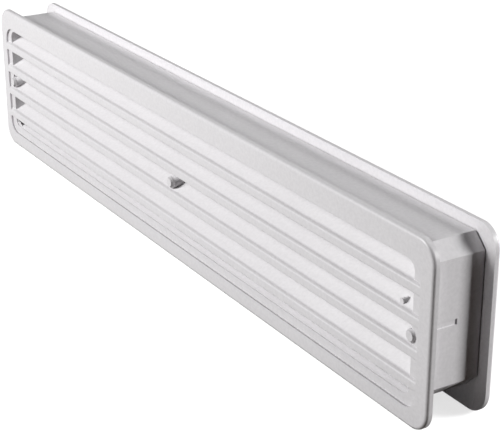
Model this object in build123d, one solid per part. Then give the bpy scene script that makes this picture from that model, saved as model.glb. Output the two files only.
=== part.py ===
from build123d import *
from math import atan, cos
import os

# A two-sided door vent: two louvred mouldings whose sleeves slide one in the other.
# Lengths are in millimetres. X runs along the vent, Y from its front face to its rear face, Z is up.
# The origin is the middle of the flanges' bottom edges, halfway through the depth as shown.

# Flange, the plate that covers the edge of the cut-out
FLANGE_LENGTH = 455.0
FLANGE_HEIGHT = 91.0
FLANGE_THICK = 3.3
FLANGE_CORNER = 11.0
FLANGE_ROUNDING = 1.6
PANEL_GAP = 29.4

# Field, the shallow step in the flange round the louvre slots
FIELD_END_MARGIN = 8.4
FIELD_TOP_MARGIN = 11.5
FIELD_BOTTOM_MARGIN = 8.9
FIELD_CORNER = 8.0
FIELD_DEEP = 1.2
OPENING_CORNER = 5.0

# Sleeve, the eight-sided duct through the cut-out
SLEEVE_END_MARGIN = 6.2
SLEEVE_TOP_MARGIN = 5.0
SLEEVE_BOTTOM_MARGIN = 11.8
SLEEVE_CORNER_CUT = 6.8
OUTER_SLEEVE_WALL = 1.8
INNER_SLEEVE_WALL = 1.6
SLEEVE_CLEARANCE = 0.4
CLOSED_GAP = 0.2
INNER_SLEEVE_REACH = 22.0
SLEEVE_LEAD_IN = 0.3
SEAT_DEEP = 0.4

# Louvre box, the walls inside the sleeve that carry the blade ends
BOX_CLEARANCE = 2.5
BOX_WALL = 1.5
BOX_DEPTH = 12.0
BOX_FOOT_GAP = 4.0

# Blades
BLADE_COUNT = 4
BLADE_DEPTH = 11.0
BLADE_SLOPE = 0.5
NOSE_HEIGHT = 4.7
NOSE_ROUNDING = 1.85
LIP_THICK = 1.5
WEB_THICK = 1.8
BLADE_EDGE_ROUNDING = 0.4
TOP_SLOT = 10.3
BOTTOM_SLOT = 14.7

# Screw bosses in the middle row
BOSS_DIAMETER = 6.6
BOSS_INSET = 0.3
BOSS_RISE = 4.6
BOSS_LENGTH = 13.0
BOSS_FRONT_WALL = 2.0
BOSS_EDGE_CUT = 1.0
PILOT_DIAMETER = 2.6
SCREW_HOLE_DIAMETER = 3.6

# Gate pin, the stub left by the mould on the second blade
GATE_DIAMETER = 3.0
GATE_MARGIN = 23.1
GATE_RISE = 2.0
GATE_SETBACK = 2.0

# Grooves in the end walls of the outer sleeve
GROOVE_WIDTH = 2.7
GROOVE_DEEP = 0.5
GROOVE_LENGTH = 15.3
SLOT_LENGTH = 0.7
SLOT_HEIGHT = 3.0

# Places that follow from the sizes above
DEPTH = PANEL_GAP + 2 * FLANGE_THICK
SLEEVE_LENGTH = FLANGE_LENGTH - 2 * SLEEVE_END_MARGIN
SLEEVE_HEIGHT = FLANGE_HEIGHT - SLEEVE_TOP_MARGIN - SLEEVE_BOTTOM_MARGIN
SLEEVE_MIDDLE = SLEEVE_BOTTOM_MARGIN + SLEEVE_HEIGHT / 2
INNER_SLEEVE_INSET = OUTER_SLEEVE_WALL + SLEEVE_CLEARANCE
OUTER_SLEEVE_REACH = PANEL_GAP - CLOSED_GAP
BOX_INSET = INNER_SLEEVE_INSET + INNER_SLEEVE_WALL + BOX_CLEARANCE
OPENING_INSET = BOX_INSET + BOX_WALL
OPENING_LENGTH = SLEEVE_LENGTH - 2 * OPENING_INSET
OPENING_TOP = FLANGE_HEIGHT - SLEEVE_TOP_MARGIN - OPENING_INSET
FIELD_LENGTH = FLANGE_LENGTH - 2 * FIELD_END_MARGIN
FIELD_TOP = FLANGE_HEIGHT - FIELD_TOP_MARGIN
LOWEST_NOSE = FIELD_BOTTOM_MARGIN + BOTTOM_SLOT
HIGHEST_NOSE = FIELD_TOP - TOP_SLOT
BLADE_PITCH = (HIGHEST_NOSE - LOWEST_NOSE) / (BLADE_COUNT - 1)
WEB_DROP = WEB_THICK / cos(atan(BLADE_SLOPE))
BOSS_PLACES = (-1, 0, 1)


def upright_prism(outline, start, end):
    """Extrude an upright outline from one depth behind the face to another."""
    return extrude(Plane.XZ.offset(-start) * outline, amount=start - end)


def long_prism(section, length):
    """Extrude a section across the depth to both sides of the middle."""
    return extrude(Plane.YZ * section, amount=length / 2, both=True)


def sleeve_outline(inset):
    """Eight-sided outline of the sleeve, moved in from the outer sleeve's outer face."""
    block = Pos(0, SLEEVE_MIDDLE) * Rectangle(SLEEVE_LENGTH, SLEEVE_HEIGHT)
    outline = chamfer(block.vertices(), SLEEVE_CORNER_CUT)
    if inset == 0:
        return outline
    return offset(outline, -inset, kind=Kind.INTERSECTION)


def rounded_block(length, bottom, top, corner):
    """Upright rectangle with rounded corners, between two heights."""
    return Pos(0, (bottom + top) / 2) * RectangleRounded(length, top - bottom, corner)


def flange(floor):
    """Plate with a rounded outer edge, the stepped field and, inside it, the opening above the floor."""
    plate = upright_prism(rounded_block(FLANGE_LENGTH, 0, FLANGE_HEIGHT, FLANGE_CORNER), 0, FLANGE_THICK)
    outer_edges = plate.faces().sort_by(Axis.Y)[0].edges()
    plate = fillet(outer_edges, FLANGE_ROUNDING)
    field = rounded_block(FIELD_LENGTH, FIELD_BOTTOM_MARGIN, FIELD_TOP, FIELD_CORNER)
    plate -= upright_prism(field, 0, FIELD_DEEP)
    opening = rounded_block(OPENING_LENGTH, floor, OPENING_TOP, OPENING_CORNER)
    return plate - upright_prism(opening, FIELD_DEEP, FLANGE_THICK)


def sleeve(inset, wall, reach):
    """Eight-sided duct behind the flange, with a lead-in round its free end."""
    end = FLANGE_THICK + reach
    tube = upright_prism(sleeve_outline(inset), FLANGE_THICK, end)
    tube = chamfer(tube.faces().sort_by(Axis.Y)[-1].edges(), SLEEVE_LEAD_IN)
    return tube - upright_prism(sleeve_outline(inset + wall), FLANGE_THICK, end)


def louvre_box():
    """Top and end walls that carry the blades, open towards the sleeve's floor."""
    walls = sleeve_outline(BOX_INSET) - sleeve_outline(OPENING_INSET)
    box = upright_prism(walls, FIELD_DEEP, BOX_DEPTH)
    foot_height = SLEEVE_BOTTOM_MARGIN + BOX_INSET + BOX_FOOT_GAP
    foot = Pos(0, foot_height / 2) * Rectangle(FLANGE_LENGTH, foot_height)
    return box - upright_prism(foot, 0, BOX_DEPTH)


def nose_place(row):
    """Height of a blade's nose above the flange's bottom edge, counting rows from the top."""
    return HIGHEST_NOSE - row * BLADE_PITCH


def blade(row):
    """Louvre blade: a lip flush with the flange, a rounded nose and a web that rises inwards."""
    nose = nose_place(row)
    web_end = nose + BLADE_SLOPE * BLADE_DEPTH
    corners = [
        (0, nose - NOSE_HEIGHT),
        (0, nose),
        (BLADE_DEPTH, web_end),
        (BLADE_DEPTH, web_end - WEB_DROP),
        (LIP_THICK, nose + BLADE_SLOPE * LIP_THICK - WEB_DROP),
        (LIP_THICK, nose - NOSE_HEIGHT),
    ]
    outline = FilletPolyline(*corners, radius=[BLADE_EDGE_ROUNDING, NOSE_ROUNDING, 0, 0, 0, 0], close=True)
    section = make_face(outline)
    plate = upright_prism(rounded_block(FLANGE_LENGTH, 0, FLANGE_HEIGHT, FLANGE_CORNER), 0, FLANGE_THICK)
    lip = long_prism(section, FIELD_LENGTH + BOX_WALL) & plate
    return lip + long_prism(section, OPENING_LENGTH + BOX_WALL)


def boss_place(position):
    """Middle of a boss: at the left end, at mid-length or at the right end of the middle row."""
    blade_below = nose_place(BLADE_COUNT // 2)
    return Pos(position * (OPENING_LENGTH / 2 - BOSS_INSET), blade_below + BOSS_RISE)


def boss(position):
    """Round screw boss that stands on the blade below, with a bevelled front edge."""
    post = upright_prism(boss_place(position) * Circle(BOSS_DIAMETER / 2), 0, BOSS_LENGTH)
    return chamfer(post.faces().sort_by(Axis.Y)[0].edges(), BOSS_EDGE_CUT)


def boss_bore(position, through):
    """Bore of a boss: right through for the screw's shank, or blind for its thread."""
    if through:
        return upright_prism(boss_place(position) * Circle(SCREW_HOLE_DIAMETER / 2), 0, BOSS_LENGTH)
    return upright_prism(boss_place(position) * Circle(PILOT_DIAMETER / 2), BOSS_FRONT_WALL, BOSS_LENGTH)


def gate_pin():
    """Short round stub on the second blade, near the right end."""
    middle = Pos(FLANGE_LENGTH / 2 - GATE_MARGIN, nose_place(1) + GATE_RISE)
    return upright_prism(middle * Circle(GATE_DIAMETER / 2), GATE_SETBACK, BLADE_DEPTH / 2)


def end_groove(side):
    """Shallow groove along one end wall of the outer sleeve, ending in a slot through the wall."""
    wall_face = side * SLEEVE_LENGTH / 2
    groove_end = FLANGE_THICK + GROOVE_LENGTH
    groove = Pos(wall_face, SLEEVE_MIDDLE) * Rectangle(2 * GROOVE_DEEP, GROOVE_WIDTH)
    slot = Pos(wall_face, SLEEVE_MIDDLE) * Rectangle(3 * OUTER_SLEEVE_WALL, SLOT_HEIGHT)
    cut = upright_prism(groove, FLANGE_THICK, groove_end)
    return cut + upright_prism(slot, groove_end, groove_end + SLOT_LENGTH)


def grille(inset, wall, reach, through):
    """One moulding, with its face at zero depth and its sleeve towards positive Y."""
    floor = SLEEVE_BOTTOM_MARGIN + inset + wall
    body = flange(floor) + sleeve(inset, wall, reach) + louvre_box() + gate_pin()
    for row in range(BLADE_COUNT):
        body += blade(row)
    for position in BOSS_PLACES:
        body += boss(position)
    for position in BOSS_PLACES:
        body -= boss_bore(position, through)
    return body


def sleeve_seat():
    """Shallow groove in the rear flange's back that takes the end of the outer sleeve."""
    seat = sleeve_outline(-SLEEVE_CLEARANCE) - sleeve_outline(INNER_SLEEVE_INSET)
    return upright_prism(seat, FLANGE_THICK - SEAT_DEEP, FLANGE_THICK)


def front_grille():
    """Front half, with the outer sleeve, its end grooves and closed bosses."""
    body = grille(0, OUTER_SLEEVE_WALL, OUTER_SLEEVE_REACH, through=False)
    for side in (-1, 1):
        body -= end_groove(side)
    return Pos(0, -DEPTH / 2, 0) * body


def rear_grille():
    """Rear half, turned to face backwards, with the inner sleeve, its seat and bored bosses."""
    body = grille(INNER_SLEEVE_INSET, INNER_SLEEVE_WALL, INNER_SLEEVE_REACH, through=True)
    body -= sleeve_seat()
    return Pos(0, DEPTH / 2, 0) * mirror(body, about=Plane.XZ)


def main():
    """Build both halves and write one file for each."""
    os.makedirs("parts", exist_ok=True)
    halves = {"front_grille": front_grille(), "rear_grille": rear_grille()}
    for name, half in halves.items():
        half.label = name
        export_step(half, f"parts/{name}.step")


if __name__ == "__main__":
    main()
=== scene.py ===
"""Studio picture of a white two-sided door vent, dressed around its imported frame.

Lengths are in metres. X runs along the vent, Y from its front face to its rear face, Z is up.
"""

import logging
import math
from dataclasses import dataclass
from enum import Enum
from typing import Union

import bpy
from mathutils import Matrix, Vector


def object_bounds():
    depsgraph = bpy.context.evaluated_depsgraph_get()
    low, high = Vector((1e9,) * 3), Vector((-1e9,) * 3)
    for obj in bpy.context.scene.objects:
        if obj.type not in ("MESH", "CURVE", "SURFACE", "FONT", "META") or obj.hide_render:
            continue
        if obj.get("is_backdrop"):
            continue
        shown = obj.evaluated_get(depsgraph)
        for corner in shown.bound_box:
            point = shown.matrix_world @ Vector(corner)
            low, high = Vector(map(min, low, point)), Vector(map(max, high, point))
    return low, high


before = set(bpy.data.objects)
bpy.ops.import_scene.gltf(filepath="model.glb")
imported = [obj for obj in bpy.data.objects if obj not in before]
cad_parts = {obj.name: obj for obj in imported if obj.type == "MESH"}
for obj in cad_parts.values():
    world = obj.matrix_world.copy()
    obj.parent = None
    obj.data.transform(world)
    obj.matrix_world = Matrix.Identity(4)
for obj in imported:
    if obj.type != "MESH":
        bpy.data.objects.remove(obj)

Number = Union[float, "Value"]
Colour = tuple[float, float, float]
Box = tuple[tuple[float, float, float], tuple[float, float, float]]

WHITE = (1.0, 1.0, 1.0)
OPAQUE = 1.0
log = logging.getLogger("door_vent")


class Half(Enum):
    """The two mouldings of the vent, by the names of their nodes."""

    FRONT = "front_grille"
    REAR = "rear_grille"


class Value:
    """A number that varies over a surface, written in ordinary maths."""

    def __init__(self, graph: "ShaderGraph", socket: bpy.types.NodeSocket) -> None:
        """Wrap an output socket.

        Args:
            graph: The shader graph that the socket belongs to.
            socket: The output that carries the number.
        """
        self.graph = graph
        self.socket = socket

    def _maths(self, operation: str, first: Number, second: Number) -> "Value":
        """Add one Math node.

        Args:
            operation: The Math node's operation.
            first: Its first number.
            second: Its second number, which some operations ignore.

        Returns:
            The node's result.
        """
        node = self.graph.node("ShaderNodeMath", {"operation": operation}, {0: first, 1: second})
        return Value(self.graph, node.outputs[0])

    def absolute(self) -> "Value":
        """Return self without its sign."""
        return self._maths("ABSOLUTE", self, 0.0)

    def clamped(self) -> "Value":
        """Return self held between 0 and 1."""
        return self._maths("MAXIMUM", 0.0, self._maths("MINIMUM", 1.0, self))

    def __add__(self, other: Number) -> "Value":
        """Return self + other."""
        return self._maths("ADD", self, other)

    def __radd__(self, other: Number) -> "Value":
        """Return other + self."""
        return self._maths("ADD", other, self)

    def __sub__(self, other: Number) -> "Value":
        """Return self - other."""
        return self._maths("SUBTRACT", self, other)

    def __rsub__(self, other: Number) -> "Value":
        """Return other - self."""
        return self._maths("SUBTRACT", other, self)

    def __mul__(self, other: Number) -> "Value":
        """Return self * other."""
        return self._maths("MULTIPLY", self, other)

    def __rmul__(self, other: Number) -> "Value":
        """Return other * self."""
        return self._maths("MULTIPLY", other, self)

    def __truediv__(self, other: float) -> "Value":
        """Return self / other, for a plain number."""
        return self * (1 / other)


class ShaderGraph:
    """The node tree of one material or of the world."""

    def __init__(self, owner: Union[bpy.types.Material, bpy.types.World]) -> None:
        """Start an empty node tree.

        Args:
            owner: The material or world whose nodes are made.
        """
        owner.use_nodes = True
        self.tree = owner.node_tree
        self.tree.nodes.clear()

    def node(self, kind: str, settings: dict | None = None, inputs: dict | None = None) -> bpy.types.Node:
        """Make a node of any type.

        Args:
            kind: The node's type name.
            settings: Values of the node's own properties, which are set first.
            inputs: Values, sockets or Value objects for its inputs, by name or number.

        Returns:
            The new node.
        """
        made = self.tree.nodes.new(kind)
        for name, value in (settings or {}).items():
            setattr(made, name, value)
        for key, value in (inputs or {}).items():
            if isinstance(value, Value):
                value = value.socket
            if isinstance(value, bpy.types.NodeSocket):
                self.tree.links.new(value, made.inputs[key])
            else:
                made.inputs[key].default_value = value
        return made

    def noise(self, place: bpy.types.NodeSocket, spacing: float, detail: float) -> Value:
        """Return soft noise between 0 and 1 whose lumps lie about spacing metres apart."""
        settings = {"noise_dimensions": "3D"}
        inputs = {"Vector": place, "Scale": 1 / spacing, "Detail": detail}
        return Value(self, self.node("ShaderNodeTexNoise", settings, inputs).outputs[0])

    def glow(self, strength: float) -> bpy.types.NodeSocket:
        """Return white light of one strength."""
        return self.node("ShaderNodeEmission", {}, {"Strength": strength}).outputs[0]

    def matt(self, shade: Colour) -> bpy.types.NodeSocket:
        """Return a matt surface of one colour."""
        return self.node("ShaderNodeBsdfDiffuse", {}, {"Color": (*shade, OPAQUE)}).outputs[0]

    def blend(
        self,
        share: Union[Value, bpy.types.NodeSocket],
        first: bpy.types.NodeSocket,
        second: bpy.types.NodeSocket,
    ) -> bpy.types.NodeSocket:
        """Return the first surface where share is 0 and the second where it is 1."""
        return self.node("ShaderNodeMixShader", {}, {0: share, 1: first, 2: second}).outputs[0]


@dataclass(frozen=True)
class MouldedPlastic:
    """Smooth white plastic as it leaves a polished mould.

    The spacings and heights are of the noise in its tint and sheen. The curve is a relief on what
    lies inside the openings: it falls behind each face, bends within curve_bend and then rises.
    """

    name: str = "white_moulded_plastic"
    shade: Colour = (0.900, 0.885, 0.900)
    shadow_shade: Colour = (0.700, 0.685, 0.700)
    flow_in_tint: float = 0.3
    mottle_in_tint: float = 0.7
    refraction: float = 1.5
    roughness: float = 0.34
    roughness_spread: float = 0.10
    flow_in_gloss: float = 0.4
    grain_in_gloss: float = 0.6
    mean_noise: float = 0.5
    flow_spacing: float = 0.09
    ripple_spacing: float = 0.011
    mottle_spacing: float = 0.0016
    grain_spacing: float = 0.0006
    noise_detail: float = 2.0
    ripple_detail: float = 1.0
    ripple_height: float = 0.00005
    grain_height: float = 0.000018
    curve_fall: float = 0.9
    curve_rise: float = 0.68
    curve_start: float = 0.0004
    curve_bend: float = 0.0018
    curve_end_margin: float = 0.0071
    curve_top_margin: float = 0.0060
    curve_corner_margin: float = 0.0191
    curve_edge: float = 0.0008

    def make(self, box: Box) -> bpy.types.Material:
        """Build the material.

        Args:
            box: The vent's lowest and highest corners.

        Returns:
            The plastic, with a faint mottle, a fine grain, slow ripples and the blades' curve.
        """
        material = bpy.data.materials.new(self.name)
        graph = ShaderGraph(material)
        place = graph.node("ShaderNodeTexCoord").outputs["Object"]
        flow = graph.noise(place, self.flow_spacing, self.noise_detail)
        ripple = graph.noise(place, self.ripple_spacing, self.ripple_detail)
        mottle = graph.noise(place, self.mottle_spacing, self.noise_detail)
        grain = graph.noise(place, self.grain_spacing, self.noise_detail)
        tint = graph.node(
            "ShaderNodeMix",
            {"data_type": "RGBA"},
            {
                "Factor": flow * self.flow_in_tint + mottle * self.mottle_in_tint,
                "A": (*self.shadow_shade, OPAQUE),
                "B": (*self.shade, OPAQUE),
            },
        )
        unevenness = flow * self.flow_in_gloss + grain * self.grain_in_gloss - self.mean_noise
        texture = ripple * self.ripple_height + grain * self.grain_height
        height = texture + self.louvre_curve(graph, place, box)
        bump = graph.node("ShaderNodeBump", {}, {"Strength": 1.0, "Distance": 1.0, "Height": height})
        surface = graph.node(
            "ShaderNodeBsdfPrincipled",
            {},
            {
                "Base Color": tint.outputs["Result"],
                "Roughness": self.roughness + unevenness * self.roughness_spread,
                "IOR": self.refraction,
                "Normal": bump.outputs["Normal"],
            },
        )
        graph.node("ShaderNodeOutputMaterial", {}, {"Surface": surface.outputs["BSDF"]})
        return material

    def louvre_curve(self, graph: ShaderGraph, place: bpy.types.NodeSocket, box: Box) -> Value:
        """Return the relief that gives the blades' webs a soft curve behind their noses.

        Args:
            graph: The plastic's shader graph.
            place: The place on the vent, in its own frame.
            box: The vent's lowest and highest corners.

        Returns:
            The height of the relief. It is 0 on the flanges' faces and on the outside of the sleeve.
        """
        (_, front, _), (end, _, top) = box
        axes = graph.node("ShaderNodeSeparateXYZ", {}, {0: place}).outputs
        along = Value(graph, axes["X"]).absolute()
        up = Value(graph, axes["Z"])
        behind = -front - Value(graph, axes["Y"]).absolute()
        bend = ((behind - self.curve_start) / self.curve_bend).clamped()
        beyond = (behind - (self.curve_start + self.curve_bend)).clamped()
        turned = (bend * bend * (self.curve_bend / 2) + beyond) * (self.curve_fall + self.curve_rise)
        relief = turned - behind * self.curve_fall
        inside_end = end - self.curve_end_margin - along
        inside_top = top - self.curve_top_margin - up
        inside_corner = end + top - self.curve_corner_margin - along - up
        for margin in (inside_end, inside_top, inside_corner):
            relief = relief * (margin / self.curve_edge).clamped()
        return relief


@dataclass
class VentHalf:
    """One moulding of the vent: flange, louvres, bosses and its part of the sleeve."""

    half: Half

    def dress(self, plastic: bpy.types.Material) -> bpy.types.Object:
        """Give the moulding its plastic.

        Args:
            plastic: The material that both halves share.

        Returns:
            The moulding's object.
        """
        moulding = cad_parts[self.half.value]
        for slot in moulding.material_slots:
            slot.material = plastic
        return moulding


@dataclass
class Vent:
    """The whole vent, with its two halves one in the other."""

    finish: MouldedPlastic = MouldedPlastic()

    def build(self, box: Box) -> list[bpy.types.Object]:
        """Dress both halves.

        Args:
            box: The vent's lowest and highest corners.

        Returns:
            The objects of the front and rear halves.
        """
        plastic = self.finish.make(box)
        return [VentHalf(half).dress(plastic) for half in Half]


@dataclass(frozen=True)
class Softbox:
    """An oblong studio lamp that faces the vent."""

    name: str
    azimuth: float
    elevation: float
    distance: float
    width: float
    height: float
    watts: float

    def build(self, aim: Vector) -> bpy.types.Object:
        """Hang the lamp.

        Args:
            aim: The point that the lamp faces.

        Returns:
            The lamp's object.
        """
        data = bpy.data.lights.new(self.name, "AREA")
        data.shape = "RECTANGLE"
        data.size = self.width
        data.size_y = self.height
        data.energy = self.watts
        lamp = bpy.data.objects.new(self.name, data)
        bpy.context.scene.collection.objects.link(lamp)
        lamp.location = aim + outward(self.azimuth, self.elevation) * self.distance
        lamp.rotation_euler = facing(lamp.location, aim)
        return lamp


KEY = Softbox(
    "key_softbox", azimuth=-18.0, elevation=27.0, distance=0.95, width=0.45, height=0.35, watts=7.6
)
FRONT_TOP = Softbox(
    "front_top_softbox", azimuth=-15.0, elevation=40.0, distance=1.6, width=0.7, height=0.5, watts=6.0
)
RIGHT_REAR = Softbox(
    "right_rear_softbox", azimuth=140.0, elevation=19.0, distance=1.6, width=0.45, height=0.5, watts=25.0
)


@dataclass
class Studio:
    """Pale floor, white surroundings and soft lamps.

    The floor glows for the camera and fades to pure white far from the vent. For light that goes
    from floor to vent it is dark. In front of the vent it also glows for reflections alone: a painted
    reflection of a white floor in the plastic.
    """

    floor_size: float = 6.0
    floor_shade: Colour = (0.80, 0.80, 0.80)
    floor_glow: float = 0.70
    fade_start: float = 0.6
    fade_width: float = 0.8
    white_glow: float = 1.0
    bounce_shade: Colour = (0.03, 0.02, 0.012)
    # Strength and soft edge of the painted reflection: a floor glow seen only in reflections, in front of
    # the vent.
    painted_reflection_glow: float = 1.0
    painted_reflection_edge: float = 0.03
    lamps: tuple[Softbox, ...] = (KEY, FRONT_TOP, RIGHT_REAR)

    def build(self, aim: Vector) -> None:
        """Set up the studio.

        Args:
            aim: The middle of the vent, which the lamps face.
        """
        self.lay_floor()
        self.paint_surroundings()
        for lamp in self.lamps:
            lamp.build(aim)
            log.info("lamp %s hung", lamp.name)
        bpy.context.scene.view_settings.view_transform = "Standard"

    def lay_floor(self) -> None:
        """Lay the floor under the vent."""
        bpy.ops.object.select_all(action="DESELECT")
        bpy.ops.mesh.primitive_plane_add(size=self.floor_size, location=(0, 0, 0))
        floor = bpy.context.object
        floor.name = "studio_floor"
        floor.data.materials.append(self.floor_paint())
        floor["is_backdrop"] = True

    def floor_paint(self) -> bpy.types.Material:
        """Build the floor's material.

        Returns:
            A paint that looks white to the camera and keeps the vent's shadow.
        """
        paint = bpy.data.materials.new("floor_paint")
        graph = ShaderGraph(paint)
        path = graph.node("ShaderNodeLightPath").outputs
        place = graph.node("ShaderNodeTexCoord").outputs["Object"]
        lit = {0: graph.matt(self.floor_shade), 1: graph.glow(self.floor_glow)}
        near = graph.node("ShaderNodeAddShader", {}, lit).outputs[0]
        reach = graph.node("ShaderNodeVectorMath", {"operation": "LENGTH"}, {0: place})
        far = ((Value(graph, reach.outputs["Value"]) - self.fade_start) / self.fade_width).clamped()
        shown = graph.blend(far, near, graph.glow(self.white_glow))
        depth = Value(graph, graph.node("ShaderNodeSeparateXYZ", {}, {0: place}).outputs["Y"])
        # Painted reflection: the floor glows for glossy rays only, and only in front of the vent.
        in_front = (depth / -self.painted_reflection_edge).clamped()
        painted_reflection_share = in_front * Value(graph, path["Is Glossy Ray"])
        unseen = graph.blend(painted_reflection_share, graph.matt(self.bounce_shade), graph.glow(self.painted_reflection_glow))
        surface = graph.blend(path["Is Camera Ray"], unseen, shown)
        graph.node("ShaderNodeOutputMaterial", {}, {"Surface": surface})
        # The glow is for the camera and, in front of the vent, a painted reflection, so the floor isn't
        # sampled as a lamp.
        paint.cycles.emission_sampling = "NONE"
        return paint

    def paint_surroundings(self) -> None:
        """Make the surroundings white to the camera and dark to the vent."""
        world = bpy.data.worlds.new("white_surroundings")
        graph = ShaderGraph(world)
        seen = graph.node("ShaderNodeLightPath").outputs["Is Camera Ray"]
        light = graph.node("ShaderNodeBackground", {}, {"Color": (*WHITE, OPAQUE), "Strength": seen})
        graph.node("ShaderNodeOutputWorld", {}, {"Surface": light.outputs[0]})
        bpy.context.scene.world = world


@dataclass(frozen=True)
class PictureCamera:
    """The camera at the photograph's place. Its lens and sensor are in millimetres."""

    azimuth: float = 58.37
    elevation: float = 22.51
    distance: float = 0.79128
    aim: tuple[float, float, float] = (0.02934, 0.01548, 0.02708)
    lens: float = 105.28
    sensor_width: float = 36.0
    clip_start: float = 0.01

    def build(self) -> bpy.types.Object:
        """Place the camera.

        Returns:
            The camera's object.
        """
        data = bpy.data.cameras.new("picture_camera")
        data.lens = self.lens
        data.sensor_width = self.sensor_width
        data.clip_start = self.clip_start
        camera = bpy.data.objects.new("picture_camera", data)
        bpy.context.scene.collection.objects.link(camera)
        aim = Vector(self.aim)
        camera.location = aim + outward(self.azimuth, self.elevation) * self.distance
        camera.rotation_euler = facing(camera.location, aim)
        bpy.context.scene.camera = camera
        return camera


def outward(azimuth: float, elevation: float) -> Vector:
    """Return the unit direction from the vent, by degrees to the right of its front and up."""
    turn = math.radians(azimuth)
    rise = math.radians(elevation)
    return Vector((math.sin(turn) * math.cos(rise), -math.cos(turn) * math.cos(rise), math.sin(rise)))


def facing(place: Vector, aim: Vector) -> tuple[float, float, float]:
    """Return the rotation that turns a lamp or camera from its place to its aim."""
    return (aim - place).to_track_quat("-Z", "Y").to_euler()


def middle(box: Box) -> Vector:
    """Return the middle of a box given by its lowest and highest corners."""
    low, high = box
    return (Vector(low) + Vector(high)) / 2


def main() -> None:
    """Build the picture: camera, vent and studio."""
    logging.basicConfig(level=logging.INFO, format="%(name)s: %(message)s")
    cad_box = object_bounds()
    PictureCamera().build()
    for moulding in Vent().build(cad_box):
        log.info("dressed %s with %d faces", moulding.name, len(moulding.data.polygons))
    Studio().build(middle(cad_box))


if __name__ == "__main__":
    main()
